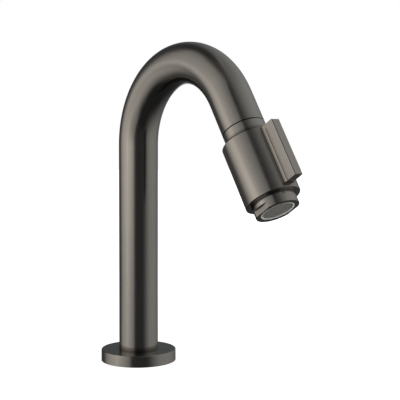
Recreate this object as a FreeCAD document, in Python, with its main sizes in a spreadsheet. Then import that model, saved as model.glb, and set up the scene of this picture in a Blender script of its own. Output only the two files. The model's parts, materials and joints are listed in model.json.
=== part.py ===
import FreeCAD, Part
import math
import os
import re

import Sketcher

# Cloakroom basin tap: a swan-neck pillar tap whose handle is a sleeve on the outlet.
# Millimetres. +Z is up, z = 0 is the top of the deck that the tap stands on, the column is on
# the Z axis and the spout reaches out along +X.
# The pieces of the head are drawn about their own outlet axis: local Z runs back up the spout,
# local X points outwards in the plane of the swan neck, and local z = 0 is the seam between
# the tube and the collar. Stations along that axis are counted from the seam towards the outlet.

SIZES = {
    # Spout tube
    "tube_diameter": 25.0,
    "tube_wall": 1.5,
    "column_height": 139.2,
    "bend_radius": 48.7,
    "bend_angle": 147.7,
    "outlet_straight": 20.4,
    # Shadow gap at the seam between the tube and the collar
    "seam_chamfer": 0.15,
    "seam_groove_width": 0.55,
    "seam_land": 0.8,
    # Clearances between pieces, on the radius
    "joined_clearance": 0.02,
    "running_clearance": 0.05,
    "free_clearance": 0.3,
    # Base flange
    "flange_diameter": 48.0,
    "flange_height": 7.25,
    "flange_edge": 0.5,
    "flange_lip_thickness": 2.0,
    "gasket_rim": 2.25,
    "gasket_width": 3.5,
    "gasket_thickness": 1.5,
    # Threaded bushes brazed into both ends of the tube
    "bush_wall": 1.5,
    "bush_length": 16.0,
    # Threaded shank under the deck
    "shoulder_diameter": 30.0,
    "shoulder_thickness": 2.4,
    "fixing_thread_diameter": 24.0,
    "fixing_thread_spare": 4.0,
    "inlet_thread_diameter": 20.955,
    "inlet_thread_length": 16.0,
    "spigot_wall": 2.5,
    "spigot_length": 13.0,
    "thread_lead_in": 1.0,
    # Small seals of round section
    "spigot_seal_section": 1.3,
    "spigot_seal_inset": 2.5,
    # Clamping set under the deck
    "deck_thickness": 18.0,
    "washer_diameter": 42.0,
    "rubber_washer_thickness": 3.0,
    "steel_washer_thickness": 2.0,
    "nut_across_flats": 32.0,
    "nut_height": 7.0,
    "nut_chamfer": 1.0,
    # Valve body: collar, barrel and disc chamber
    "collar_length": 7.1,
    "barrel_wall": 2.0,
    "chamber_floor": 4.0,
    "key_width": 3.0,
    "key_depth": 1.1,
    "bearing_inset": 0.9,
    "bearing_width": 4.0,
    "bearing_depth": 0.7,
    # Ceramic discs and their seat
    "seat_thickness": 2.0,
    "disc_thickness": 3.0,
    "disc_clearance": 0.2,
    "port_inner_diameter": 5.0,
    "port_outer_diameter": 13.0,
    "port_angle": 80.0,
    # Spindle that turns the moving disc
    "spindle_flange_thickness": 3.0,
    "spindle_wall": 2.5,
    "spindle_tail_inset": 2.0,
    "dog_width": 3.0,
    "dog_depth": 1.4,
    "dog_height": 1.8,
    "thrust_washer_thickness": 1.0,
    "spindle_seal_section": 1.2,
    "spindle_seal_spacing": 3.6,
    # Gland nut that holds the spindle in the barrel
    "gland_length": 10.0,
    "gland_wall": 2.0,
    "gland_seal_section": 1.0,
    "gland_slot_width": 2.5,
    "gland_slot_depth": 1.5,
    # Quarter-turn stop
    "handle_travel": 90.0,
    "lug_angle": 30.0,
    "lug_height": 3.0,
    "stop_clearance_angle": 2.0,
    # Outlet hub that carries the sleeve and the aerator
    "hub_gap": 1.0,
    "hub_length": 11.0,
    "hub_thread_length": 5.5,
    "hub_thread_wall": 2.0,
    # Handle sleeve with its fin
    "sleeve_gap": 0.2,
    "sleeve_wall": 3.05,
    "sleeve_overhang": 2.0,
    "sleeve_lip_length": 2.0,
    "sleeve_top_chamfer": 1.1,
    "sleeve_end_rounding": 0.5,
    "fin_thickness": 5.8,
    "fin_height": 8.6,
    "fin_top_inset": 0.4,
    "fin_end_inset": 2.4,
    "fin_root_depth": 1.1,
    "fin_root_fillet": 2.2,
    "fin_edge": 0.7,
    # Grub screw at the back of the sleeve
    "grub_diameter": 4.0,
    "grub_inset": 5.0,
    "grub_recess": 0.4,
    "grub_socket": 2.0,
    "grub_socket_depth": 2.2,
    "grub_point_length": 1.0,
    "spindle_flat_depth": 0.5,
    "spindle_flat_length": 5.0,
    # Aerator
    "aerator_thread_wall": 1.5,
    "aerator_gap": 1.5,
    "aerator_proud": 6.6,
    "aerator_lip_thickness": 1.0,
    "aerator_lip_width": 2.8,
    "aerator_cup_wall": 2.2,
    "aerator_edge": 0.3,
    "flats_depth": 1.2,
    "flats_height": 3.3,
    "insert_rim_width": 0.8,
    "insert_nose_inset": 0.2,
    "insert_plate_thickness": 1.2,
    "insert_ledge_width": 0.7,
    "insert_ledge_thickness": 0.8,
    "insert_rib_thickness": 0.8,
    "insert_rib_count": 8.0,
    "diffuser_hole_diameter": 1.3,
    "diffuser_hole_circle": 11.0,
    "diffuser_hole_count": 16.0,
    "aerator_seal_thickness": 1.5,
    "mesh_thickness": 0.4,
    "mesh_recess": 0.3,
    "mesh_pitch": 1.5,
    "mesh_opening": 1.05,
    "mesh_rim": 0.6,
    # How far a cutting outline runs past the surface that it opens
    "cut_margin": 1.0,
}

# Radii and stations that several pieces share, as expressions of the sizes
TUBE_R = "(tube_diameter / 2)"
TUBE_BORE_R = "(TUBE_R - tube_wall)"
BUSH_THREAD_R = "(TUBE_BORE_R - bush_wall)"
WATERWAY_R = "(BUSH_THREAD_R - spigot_wall)"
SPIGOT_R = "(BUSH_THREAD_R - joined_clearance)"
SEAM_GROOVE_R = "(TUBE_BORE_R + seam_land)"
SHOULDER_R = "(shoulder_diameter / 2)"
FIXING_R = "(fixing_thread_diameter / 2)"
INLET_R = "(inlet_thread_diameter / 2)"
GASKET_OUTER_R = "(flange_diameter / 2 - gasket_rim)"
GASKET_INNER_R = "(GASKET_OUTER_R - gasket_width)"
CHAMBER_R = "(TUBE_R - barrel_wall)"
SPINDLE_R = "(CHAMBER_R - gland_wall)"
SPINDLE_BORE_R = "(SPINDLE_R - spindle_wall)"
SLEEVE_BORE_R = "(TUBE_R + sleeve_gap)"
SLEEVE_R = "(SLEEVE_BORE_R + sleeve_wall)"
FIN_REACH = "(SLEEVE_R + fin_height)"
HUB_R = "(SLEEVE_BORE_R - joined_clearance)"
HUB_THREAD_R = "(TUBE_R - aerator_thread_wall)"
OUTLET_CHAMBER_R = "(HUB_THREAD_R - hub_thread_wall)"
MOUTH_R = "(TUBE_R - aerator_lip_width)"
INSERT_R = "(TUBE_R - aerator_cup_wall)"
INSERT_RIM_R = "(MOUTH_R - joined_clearance)"
INSERT_BORE_R = "(INSERT_RIM_R - insert_rim_width)"
TILT = "(180 - bend_angle)"
SEAM_X = "(bend_radius * (1 + cos(TILT)) + outlet_straight * sin(TILT))"
SEAM_Z = "(column_height + bend_radius * sin(TILT) - outlet_straight * cos(TILT))"
SHOULDER_TOP = "shoulder_thickness"
LIP_TOP = "(SHOULDER_TOP + flange_lip_thickness)"
RUBBER_END = "(deck_thickness + rubber_washer_thickness)"
STEEL_END = "(RUBBER_END + steel_washer_thickness)"
NUT_END = "(STEEL_END + nut_height)"
FIXING_END = "(NUT_END + fixing_thread_spare)"
INLET_END = "(FIXING_END + inlet_thread_length)"
DISC_SEAT = "(chamber_floor + seat_thickness)"
DISC_MEET = "(DISC_SEAT + disc_thickness)"
SPINDLE_TOP = "(DISC_MEET + disc_thickness)"
SPINDLE_SHOULDER = "(SPINDLE_TOP + spindle_flange_thickness)"
GLAND_TOP = "(SPINDLE_SHOULDER + thrust_washer_thickness)"
GLAND_MIDDLE = "(GLAND_TOP + gland_length / 2)"
BARREL_END = "(GLAND_TOP + gland_length)"
HUB_TOP = "(BARREL_END + hub_gap)"
HUB_SHOULDER = "(HUB_TOP + hub_length)"
HUB_END = "(HUB_SHOULDER + hub_thread_length)"
SPINDLE_END = "(HUB_SHOULDER - spindle_tail_inset)"
GRUB_STATION = "(HUB_TOP + grub_inset)"
LIP_END = "(collar_length + sleeve_lip_length)"
BEARING_START = "(LIP_END + bearing_inset)"
BEARING_END = "(BEARING_START + bearing_width)"
SLEEVE_END = "(HUB_END + sleeve_overhang)"
AERATOR_TOP = "(HUB_SHOULDER + aerator_gap)"
AERATOR_END = "(SLEEVE_END + aerator_proud)"
INSERT_TOP = "(HUB_END + aerator_seal_thickness)"
LIP_INNER = "(AERATOR_END - aerator_lip_thickness)"
INSERT_END = "(AERATOR_END - insert_nose_inset)"
MESH_FACE = "(INSERT_END - mesh_recess)"
MESH_BACK = "(MESH_FACE - mesh_thickness)"
SHARED = {name: text for name, text in globals().items() if name.isupper() and isinstance(text, str)}

document = FreeCAD.newDocument("basin_tap")
sheet = document.addObject("Spreadsheet::Sheet", "Sizes")
for row, (alias, size) in enumerate(SIZES.items(), start=1):
    sheet.set(f"A{row}", alias)
    sheet.set(f"B{row}", str(size))
    sheet.setAlias(f"B{row}", alias)
document.recompute()

subparts = []


# Expressions and numbers
def bound(text):
    """The expression with every shared value written out and every size tied to its cell."""
    text = str(text)
    while re.search(r"\b[A-Z][A-Z_]+\b", text):
        text = re.sub(r"\b[A-Z][A-Z_]+\b", lambda found: SHARED[found.group()], text)
    return re.sub(r"\b[a-z][a-z_]+\b", lambda found: tied(found.group()), text)


def tied(word):
    return f"Sizes.{word}" if word in SIZES else word


def number(text):
    return float(sheet.evalExpression(bound(text)))


# Bodies and sketches
def new_body(label):
    body = document.addObject("PartDesign::Body", label)
    body.Label = label
    subparts.append(body)
    return body


def plane_of(body, role):
    return next(item for item in body.Origin.OriginFeatures if item.Role == role)


def new_sketch(body, name, role, offset="0"):
    sketch = body.newObject("Sketcher::SketchObject", name)
    sketch.AttachmentSupport = (plane_of(body, role), [""])
    sketch.MapMode = "FlatFace"
    sketch.setExpression(".AttachmentOffset.Base.z", bound(offset))
    return sketch


def fix_length(sketch, kind, elements, text):
    """Add a dimension to a sketch and tie it to the sheet."""
    index = sketch.addConstraint(Sketcher.Constraint(kind, *elements, number(text)))
    name = f"size_{index}"
    sketch.renameConstraint(index, name)
    sketch.setExpression(f"Constraints.{name}", bound(text))


def add_outline(sketch, corners):
    """A closed outline of straight edges with each corner dimensioned from the origin."""
    first = sketch.GeometryCount
    places = [FreeCAD.Vector(number(across), number(up), 0) for across, up in corners]
    count = len(corners)
    for index in range(count):
        sketch.addGeometry(Part.LineSegment(places[index], places[(index + 1) % count]), False)
    for index in range(count):
        following = first + (index + 1) % count
        sketch.addConstraint(Sketcher.Constraint("Coincident", first + index, 2, following, 1))
    for index, (across, up) in enumerate(corners):
        fix_length(sketch, "DistanceX", (-1, 1, first + index, 1), across)
        fix_length(sketch, "DistanceY", (-1, 1, first + index, 1), up)


def add_circle(sketch, radius, across="0", up="0"):
    centre = FreeCAD.Vector(number(across), number(up), 0)
    circle = Part.Circle(centre, FreeCAD.Vector(0, 0, 1), number(radius))
    index = sketch.addGeometry(circle, False)
    fix_length(sketch, "DistanceX", (-1, 1, index, 3), across)
    fix_length(sketch, "DistanceY", (-1, 1, index, 3), up)
    fix_length(sketch, "Radius", (index,), radius)


def add_sector(sketch, inner, outer, middle, width):
    """A ring sector about the origin, between two radii, as wide in degrees as stated."""
    start = f"({middle} - {width} / 2)"
    finish = f"({middle} + {width} / 2)"
    angles = [math.radians(number(start)), math.radians(number(finish))]
    normal = FreeCAD.Vector(0, 0, 1)
    arcs = []
    for radius in (inner, outer):
        circle = Part.Circle(FreeCAD.Vector(), normal, number(radius))
        arcs.append(sketch.addGeometry(Part.ArcOfCircle(circle, *angles), False))
        sketch.addConstraint(Sketcher.Constraint("Coincident", arcs[-1], 3, -1, 1))
        fix_length(sketch, "Radius", (arcs[-1],), radius)
    for end, direction in ((1, start), (2, finish)):
        turned = math.radians(number(direction))
        heading = FreeCAD.Vector(math.cos(turned), math.sin(turned), 0)
        side = Part.LineSegment(heading * number(inner), heading * number(outer))
        line = sketch.addGeometry(side, False)
        sketch.addConstraint(Sketcher.Constraint("Coincident", line, 1, arcs[0], end))
        sketch.addConstraint(Sketcher.Constraint("Coincident", line, 2, arcs[1], end))
        fix_length(sketch, "DistanceX", (-1, 1, line, 2), f"({outer}) * cos({direction})")
        fix_length(sketch, "DistanceX", (-1, 1, line, 1), f"({inner}) * cos({direction})")


# Features
def add_revolution(body, name, corners):
    """A turned form: corners are (radius, height) about the body's Z axis."""
    sketch = new_sketch(body, f"{name}_profile", "XZ_Plane")
    add_outline(sketch, corners)
    feature = body.newObject("PartDesign::Revolution", name)
    feature.Profile = sketch
    feature.ReferenceAxis = (sketch, ["V_Axis"])
    feature.Angle = 360.0
    return settled(body, feature)


def add_pad(body, name, draw, low, high, role="XY_Plane"):
    """A prism from one height to another along the normal of a base plane."""
    sketch = new_sketch(body, f"{name}_profile", role, low)
    draw(sketch)
    feature = body.newObject("PartDesign::Pad", name)
    feature.Profile = sketch
    feature.Length = number(f"{high} - ({low})")
    feature.setExpression("Length", bound(f"{high} - ({low})"))
    return settled(body, feature)


def add_pocket(body, name, draw, low, high, role="XY_Plane"):
    """A prism cut from one height to another; it stops the build if it removes nothing."""
    before = body.Shape.Volume
    sketch = new_sketch(body, f"{name}_profile", role, low)
    draw(sketch)
    feature = body.newObject("PartDesign::Pocket", name)
    feature.Profile = sketch
    feature.Length = number(f"{high} - ({low})")
    feature.setExpression("Length", bound(f"{high} - ({low})"))
    feature.Reversed = True
    settled(body, feature)
    if body.Shape.Volume >= before:
        raise RuntimeError(f"{name} removes nothing")
    return feature


def add_pattern(body, name, original, count):
    """Equal copies of a feature round the body's Z axis."""
    feature = body.newObject("PartDesign::PolarPattern", name)
    feature.Originals = [original]
    feature.Axis = (original.Profile[0], ["N_Axis"])
    feature.Angle = 360.0
    feature.Occurrences = int(round(number(count)))
    body.Tip = feature
    return settled(body, feature)


def settled(body, feature):
    document.recompute()
    if not feature.isValid() or feature.Shape.isNull():
        raise RuntimeError(f"{body.Label}: {feature.Name} failed")
    return feature


def edges_where(feature, test):
    return [f"Edge{index}" for index, edge in enumerate(feature.Shape.Edges, start=1) if test(edge)]


def ring_at(radius, height):
    """A test for full circles about the Z axis of a radius at a height."""
    radius, height = number(radius), number(height)

    def test(edge):
        curve = edge.Curve
        return (
            isinstance(curve, Part.Circle)
            and abs(curve.Radius - radius) < 1e-4
            and abs(curve.Center.z - height) < 1e-4
            and math.hypot(curve.Center.x, curve.Center.y) < 1e-4
        )

    return test


def add_edge_feature(body, kind, name, base, edges, size):
    if not edges:
        raise RuntimeError(f"{name} found no edge")
    feature = body.newObject(f"PartDesign::{kind}", name)
    feature.Base = (base, edges)
    dimension = "Radius" if kind == "Fillet" else "Size"
    setattr(feature, dimension, number(size))
    feature.setExpression(dimension, bound(size))
    return settled(body, feature)


def rounded(body, name, base, edges, size):
    return add_edge_feature(body, "Fillet", name, base, edges, size)


def chamfered(body, name, base, edges, size):
    return add_edge_feature(body, "Chamfer", name, base, edges, size)


def below(station):
    """A station along the outlet axis as a local height of the head."""
    return f"-({station})"


def stations(*corners):
    """Corners as (radius, station) turned into (radius, local height)."""
    return [(radius, below(station)) for radius, station in corners]


def put_on_head(body):
    """Move a piece drawn about the outlet axis to its place at the end of the spout."""
    body.Placement = FreeCAD.Placement(
        FreeCAD.Vector(), FreeCAD.Rotation(FreeCAD.Vector(0, -1, 0), number(TILT))
    )
    body.setExpression(".Placement.Base.x", bound(SEAM_X))
    body.setExpression(".Placement.Base.z", bound(SEAM_Z))
    body.setExpression(".Placement.Rotation.Angle", bound(TILT))


def add_ring_seal(label, centre_radius, section_radius, height, on_head):
    """A seal ring of round section about the Z axis."""
    seal = document.addObject("Part::Torus", label)
    seal.Label = label
    seal.setExpression("Radius1", bound(centre_radius))
    seal.setExpression("Radius2", bound(section_radius))
    if on_head:
        turn = FreeCAD.Rotation(FreeCAD.Vector(0, -1, 0), number(TILT))
        seal.Placement = FreeCAD.Placement(FreeCAD.Vector(), turn)
        seal.setExpression(".Placement.Base.x", bound(f"{SEAM_X} - ({height}) * sin(TILT)"))
        seal.setExpression(".Placement.Base.z", bound(f"{SEAM_Z} + ({height}) * cos(TILT)"))
        seal.setExpression(".Placement.Rotation.Angle", bound(TILT))
    else:
        seal.setExpression(".Placement.Base.z", bound(height))
    subparts.append(seal)
    return seal


# Outline helpers
def groove_corners(radius, depth, width, middle):
    """The four corners of a square groove in a turned outline, in order of rising station."""
    return [
        (radius, f"{middle} - {width} / 2"),
        (f"{radius} - {depth}", f"{middle} - {width} / 2"),
        (f"{radius} - {depth}", f"{middle} + {width} / 2"),
        (radius, f"{middle} + {width} / 2"),
    ]


def ring_corners(inner, outer, start, finish):
    return [(inner, start), (outer, start), (outer, finish), (inner, finish)]


def rectangle(left, right, low, high):
    """A drawing function for a rectangle in a sketch."""
    corners = [(left, low), (right, low), (right, high), (left, high)]
    return lambda sketch: add_outline(sketch, corners)


def hexagon_corners(across):
    """Corners of a hexagon with two flats square to the first axis of its sketch."""
    return [
        (f"{across} / sqrt(3) * cos({60 * step + 30})", f"{across} / sqrt(3) * sin({60 * step + 30})")
        for step in range(6)
    ]


def both_sides(near, far, half_width):
    """A drawing function for two equal rectangles, one each side of the second axis."""

    def draw(sketch):
        for side in ("", "-"):
            low, high = f"-({half_width})", f"{half_width}"
            corners = [(f"{side}({near})", low), (f"{side}({far})", low)]
            corners += [(f"{side}({far})", high), (f"{side}({near})", high)]
            add_outline(sketch, corners)

    return draw


# Spout and base
def make_spout_tube():
    """One drawn tube: the column, the bend and the short straight that ends at the seam."""
    body = new_body("spout_tube")
    section = new_sketch(body, "tube_section", "XY_Plane", LIP_TOP)
    add_circle(section, TUBE_R)
    add_circle(section, TUBE_BORE_R)
    path = new_sketch(body, "tube_path", "XZ_Plane")
    bend = FreeCAD.Vector(number("bend_radius"), number("column_height"), 0)
    radius = number("bend_radius")
    tilt = math.radians(number(TILT))
    seam = FreeCAD.Vector(number(SEAM_X), number(SEAM_Z), 0)
    foot = FreeCAD.Vector(0, number(LIP_TOP), 0)
    bend_start = FreeCAD.Vector(0, number("column_height"), 0)
    bend_end = bend + FreeCAD.Vector(math.cos(tilt), math.sin(tilt), 0) * radius
    column = path.addGeometry(Part.LineSegment(foot, bend_start), False)
    circle = Part.Circle(bend, FreeCAD.Vector(0, 0, 1), radius)
    arc = path.addGeometry(Part.ArcOfCircle(circle, tilt, math.pi), False)
    outlet = path.addGeometry(Part.LineSegment(bend_end, seam), False)
    fix_length(path, "DistanceX", (-1, 1, column, 1), "0")
    fix_length(path, "DistanceY", (-1, 1, column, 1), LIP_TOP)
    fix_length(path, "DistanceX", (-1, 1, column, 2), "0")
    fix_length(path, "DistanceY", (-1, 1, column, 2), "column_height")
    fix_length(path, "DistanceX", (-1, 1, arc, 3), "bend_radius")
    fix_length(path, "DistanceY", (-1, 1, arc, 3), "column_height")
    path.addConstraint(Sketcher.Constraint("Coincident", column, 2, arc, 2))
    path.addConstraint(Sketcher.Constraint("Coincident", arc, 1, outlet, 1))
    fix_length(path, "DistanceX", (-1, 1, arc, 1), "bend_radius * (1 + cos(TILT))")
    fix_length(path, "DistanceX", (-1, 1, outlet, 2), SEAM_X)
    fix_length(path, "DistanceY", (-1, 1, outlet, 2), SEAM_Z)
    document.recompute()
    tube = body.newObject("PartDesign::AdditivePipe", "bent_tube")
    tube.Profile = section
    tube.Spine = path
    settled(body, tube)
    reach, height = number(SEAM_X), number(SEAM_Z)
    outer = number(TUBE_R)

    def rim_at_seam(edge):
        middle = edge.BoundBox.Center
        at_seam = math.hypot(middle.x - reach, middle.z - height) < 0.01
        return at_seam and abs(edge.Length - 2 * math.pi * outer) < 0.01

    chamfered(body, "seam_edge", tube, edges_where(tube, rim_at_seam), "seam_chamfer")
    length = number("column_height") - number(LIP_TOP) + radius * (math.pi - tilt)
    length += number("outlet_straight")
    area = math.pi * (outer**2 - number(TUBE_BORE_R) ** 2)
    print(f"tube volume {tube.Shape.Volume:.1f}, section times length {area * length:.1f}")


def make_base_flange():
    """The round plate that stands on the deck; the tube's end sits on its inner lip."""
    body = new_body("base_flange")
    radius = "flange_diameter / 2"
    tube_socket = f"{TUBE_R} + joined_clearance"
    lip_bore = f"{BUSH_THREAD_R} + joined_clearance"
    recess = f"{SHOULDER_R} + joined_clearance"
    groove_outer = f"{GASKET_OUTER_R} + joined_clearance"
    groove_inner = f"{GASKET_INNER_R} - joined_clearance"
    corners = [
        (lip_bore, SHOULDER_TOP),
        (lip_bore, LIP_TOP),
        (tube_socket, LIP_TOP),
        (tube_socket, "flange_height"),
        (radius, "flange_height"),
        (radius, "0"),
        (groove_outer, "0"),
        (groove_outer, "gasket_thickness"),
        (groove_inner, "gasket_thickness"),
        (groove_inner, "0"),
        (recess, "0"),
        (recess, SHOULDER_TOP),
    ]
    plate = add_revolution(body, "flange_plate", corners)
    rim = edges_where(plate, ring_at(radius, "flange_height"))
    rounded(body, "flange_rim", plate, rim, "flange_edge")


def make_base_gasket():
    body = new_body("base_gasket")
    corners = ring_corners(GASKET_INNER_R, GASKET_OUTER_R, "0", "gasket_thickness")
    add_revolution(body, "gasket_ring", corners)


def make_shank_bush():
    """Threaded bush brazed into the foot of the tube."""
    body = new_body("shank_bush")
    outer = f"{TUBE_BORE_R} - joined_clearance"
    corners = ring_corners(BUSH_THREAD_R, outer, LIP_TOP, f"{LIP_TOP} + bush_length")
    add_revolution(body, "shank_bush_ring", corners)


def make_threaded_shank():
    """Spigot into the tube, shoulder under the flange, fixing thread and inlet thread."""
    body = new_body("threaded_shank")
    spigot_top = f"({LIP_TOP} + spigot_length)"
    groove = groove_corners(
        SPIGOT_R, "spigot_seal_section", "spigot_seal_section", f"({spigot_top} - spigot_seal_inset)"
    )
    fixing_end = below(FIXING_END)
    inlet_end = below(INLET_END)
    corners = [(WATERWAY_R, spigot_top), (SPIGOT_R, spigot_top)]
    corners += reversed(groove)
    corners += [
        (SPIGOT_R, SHOULDER_TOP),
        (SHOULDER_R, SHOULDER_TOP),
        (SHOULDER_R, "0"),
        (FIXING_R, "0"),
        (FIXING_R, f"{fixing_end} + thread_lead_in"),
        (f"{FIXING_R} - thread_lead_in", fixing_end),
        (INLET_R, fixing_end),
        (INLET_R, f"{inlet_end} + thread_lead_in"),
        (f"{INLET_R} - thread_lead_in", inlet_end),
        (WATERWAY_R, inlet_end),
    ]
    add_revolution(body, "shank_turning", corners)


def make_shank_seal():
    section = "spigot_seal_section / 2"
    height = f"({LIP_TOP} + spigot_length - spigot_seal_inset)"
    add_ring_seal("shank_o_ring", f"{SPIGOT_R} - {section}", section, height, False)


def make_deck_clamp():
    """Rubber washer, steel washer and back nut that pull the flange onto the deck."""
    washer_bore = f"{FIXING_R} + joined_clearance"
    rubber = new_body("deck_rubber_washer")
    corners = ring_corners(washer_bore, "washer_diameter / 2", "deck_thickness", RUBBER_END)
    add_revolution(rubber, "rubber_ring", stations(*corners))
    steel = new_body("deck_steel_washer")
    corners = ring_corners(washer_bore, "washer_diameter / 2", RUBBER_END, STEEL_END)
    add_revolution(steel, "steel_ring", stations(*corners))
    nut = new_body("back_nut")

    def draw(sketch):
        add_outline(sketch, hexagon_corners("nut_across_flats"))
        add_circle(sketch, washer_bore)

    add_pad(nut, "nut_blank", draw, below(NUT_END), below(STEEL_END))
    flat = "(nut_across_flats / 2 - nut_chamfer / 2)"
    outside = "(nut_across_flats / sqrt(3) + nut_chamfer)"
    rise = f"(({outside} - {flat}) * tan(30))"
    for name, face, inward in (("lower", NUT_END, "-"), ("upper", STEEL_END, "+")):
        corners = [(flat, face), (outside, face), (outside, f"{face} {inward} {rise}")]
        add_groove(nut, f"{name}_corners", stations(*corners))


def add_groove(body, name, corners):
    """A turned cut about the body's Z axis; it stops the build if it removes nothing."""
    before = body.Shape.Volume
    sketch = new_sketch(body, f"{name}_profile", "XZ_Plane")
    add_outline(sketch, corners)
    feature = body.newObject("PartDesign::Groove", name)
    feature.Profile = sketch
    feature.ReferenceAxis = (sketch, ["V_Axis"])
    feature.Angle = 360.0
    settled(body, feature)
    if body.Shape.Volume >= before:
        raise RuntimeError(f"{name} removes nothing")
    return feature


# Fixed pieces of the outlet valve
def make_outlet_bush():
    """Threaded bush brazed into the outlet end of the tube."""
    body = new_body("outlet_bush")
    outer = f"{TUBE_BORE_R} - joined_clearance"
    corners = ring_corners(BUSH_THREAD_R, outer, "-(bush_length)", "0")
    add_revolution(body, "outlet_bush_ring", stations(*corners))
    put_on_head(body)


def make_valve_body():
    """Spigot screwed into the tube, visible collar, and the barrel that holds the discs."""
    body = new_body("valve_body")
    spigot_seal = "(spigot_seal_inset - spigot_length)"
    bearing = "(BEARING_START + bearing_width / 2)"
    corners = [(WATERWAY_R, "-(spigot_length)"), (SPIGOT_R, "-(spigot_length)")]
    corners += groove_corners(SPIGOT_R, "spigot_seal_section", "spigot_seal_section", spigot_seal)
    corners += [(SPIGOT_R, "0"), (SEAM_GROOVE_R, "0")]
    corners += [(SEAM_GROOVE_R, "seam_groove_width"), (TUBE_R, "seam_groove_width")]
    corners += groove_corners(TUBE_R, "bearing_depth", "bearing_width", bearing)
    corners += [
        (TUBE_R, BARREL_END),
        (CHAMBER_R, BARREL_END),
        (CHAMBER_R, "chamber_floor"),
        (WATERWAY_R, "chamber_floor"),
    ]
    add_revolution(body, "valve_body_turning", stations(*corners))
    key_end = f"({DISC_MEET} - free_clearance)"
    keys = both_sides(f"{CHAMBER_R} - key_depth", f"{CHAMBER_R} + key_depth / 2", "key_width / 2")
    add_pad(body, "disc_keys", keys, below(key_end), below(DISC_SEAT))
    half_notch = "(handle_travel / 2 + lug_angle / 2 + stop_clearance_angle)"
    notch_top = f"({HUB_TOP} - lug_height - free_clearance)"

    def notch(sketch):
        inner = f"({CHAMBER_R} - cut_margin)"
        add_sector(sketch, inner, f"({TUBE_R} + cut_margin)", "180", f"(2 * {half_notch})")

    add_pocket(body, "stop_notch", notch, below(f"({BARREL_END} + cut_margin)"), below(notch_top))
    put_on_head(body)


def make_valve_body_seal():
    section = "spigot_seal_section / 2"
    height = "spigot_length - spigot_seal_inset"
    add_ring_seal("valve_body_o_ring", f"{SPIGOT_R} - {section}", section, height, True)


def make_sleeve_bearing():
    """Plastic ring in the collar's groove on which the sleeve turns."""
    body = new_body("sleeve_bearing_ring")
    inner = f"{TUBE_R} - bearing_depth + joined_clearance"
    outer = f"{SLEEVE_BORE_R} - running_clearance"
    start = f"{BEARING_START} + joined_clearance"
    finish = f"{BEARING_END} - joined_clearance"
    add_revolution(body, "bearing_ring", stations(*ring_corners(inner, outer, start, finish)))
    put_on_head(body)


def make_seat_seal():
    body = new_body("seat_seal")
    outer = f"{CHAMBER_R} - free_clearance"
    corners = ring_corners(WATERWAY_R, outer, "chamber_floor", DISC_SEAT)
    add_revolution(body, "seat_ring", stations(*corners))
    put_on_head(body)


def add_ports(body, name, outer, middle, low, high):
    """Two opposite ring sectors cut through a disc for the water."""

    def draw(sketch):
        add_sector(sketch, "port_inner_diameter / 2", outer, middle, "port_angle")

    port = add_pocket(body, name, draw, low, high)
    return add_pattern(body, f"{name}_pair", port, "2")


def make_fixed_disc():
    """Ceramic disc held by the body's keys, with two open quarters."""
    body = new_body("fixed_disc")
    radius = f"{CHAMBER_R} - disc_clearance"
    low, high = below(DISC_MEET), below(DISC_SEAT)
    corners = [("0", DISC_SEAT), (radius, DISC_SEAT), (radius, DISC_MEET), ("0", DISC_MEET)]
    add_revolution(body, "fixed_disc_blank", stations(*corners))
    near = f"{CHAMBER_R} - key_depth - running_clearance"
    slots = both_sides(near, f"{CHAMBER_R} + key_depth", "key_width / 2 + running_clearance")
    add_pocket(body, "key_slots", slots, low, high)
    add_ports(body, "fixed_port", "port_outer_diameter / 2", "0", low, high)
    put_on_head(body)


def make_gland_nut():
    """Brass nut screwed into the barrel; the spindle turns in its bore."""
    body = new_body("gland_nut")
    outer = f"({CHAMBER_R} - running_clearance)"
    inner = f"({SPINDLE_R} + running_clearance)"
    corners = [(inner, GLAND_TOP), (outer, GLAND_TOP)]
    corners += groove_corners(outer, "gland_seal_section", "gland_seal_section", GLAND_MIDDLE)
    corners += [(outer, BARREL_END), (inner, BARREL_END)]
    add_revolution(body, "gland_turning", stations(*corners))
    slots = both_sides(f"{inner} - gland_slot_depth", f"{outer} + gland_slot_depth", "gland_slot_width / 2")
    add_pocket(body, "spanner_slots", slots, below(BARREL_END), below(f"({BARREL_END} - gland_slot_depth)"))
    put_on_head(body)


def make_gland_seal():
    section = "gland_seal_section / 2"
    centre = f"{CHAMBER_R} - running_clearance - {section}"
    add_ring_seal("gland_o_ring", centre, section, below(GLAND_MIDDLE), True)


def make_thrust_washer():
    body = new_body("thrust_washer")
    inner = f"{SPINDLE_R} + free_clearance"
    outer = f"{CHAMBER_R} - free_clearance"
    corners = ring_corners(inner, outer, SPINDLE_SHOULDER, GLAND_TOP)
    add_revolution(body, "thrust_ring", stations(*corners))
    put_on_head(body)


# Pieces that turn with the handle
def make_moving_disc():
    """Ceramic disc turned by the spindle's dogs; at rest its ports stand a quarter turn off."""
    body = new_body("moving_disc")
    radius = f"{CHAMBER_R} - free_clearance"
    low, high = below(SPINDLE_TOP), below(DISC_MEET)
    corners = [("0", DISC_MEET), (radius, DISC_MEET), (radius, SPINDLE_TOP), ("0", SPINDLE_TOP)]
    add_revolution(body, "moving_disc_blank", stations(*corners))
    near = f"{CHAMBER_R} - free_clearance - dog_depth - running_clearance"
    slots = both_sides(near, f"{CHAMBER_R} + dog_depth", "dog_width / 2 + running_clearance")
    slot_top = f"({SPINDLE_TOP} - dog_height - running_clearance)"
    add_pocket(body, "dog_slots", slots, low, below(slot_top))
    add_ports(body, "moving_port", "port_outer_diameter / 2", "handle_travel", low, high)
    put_on_head(body)


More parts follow.
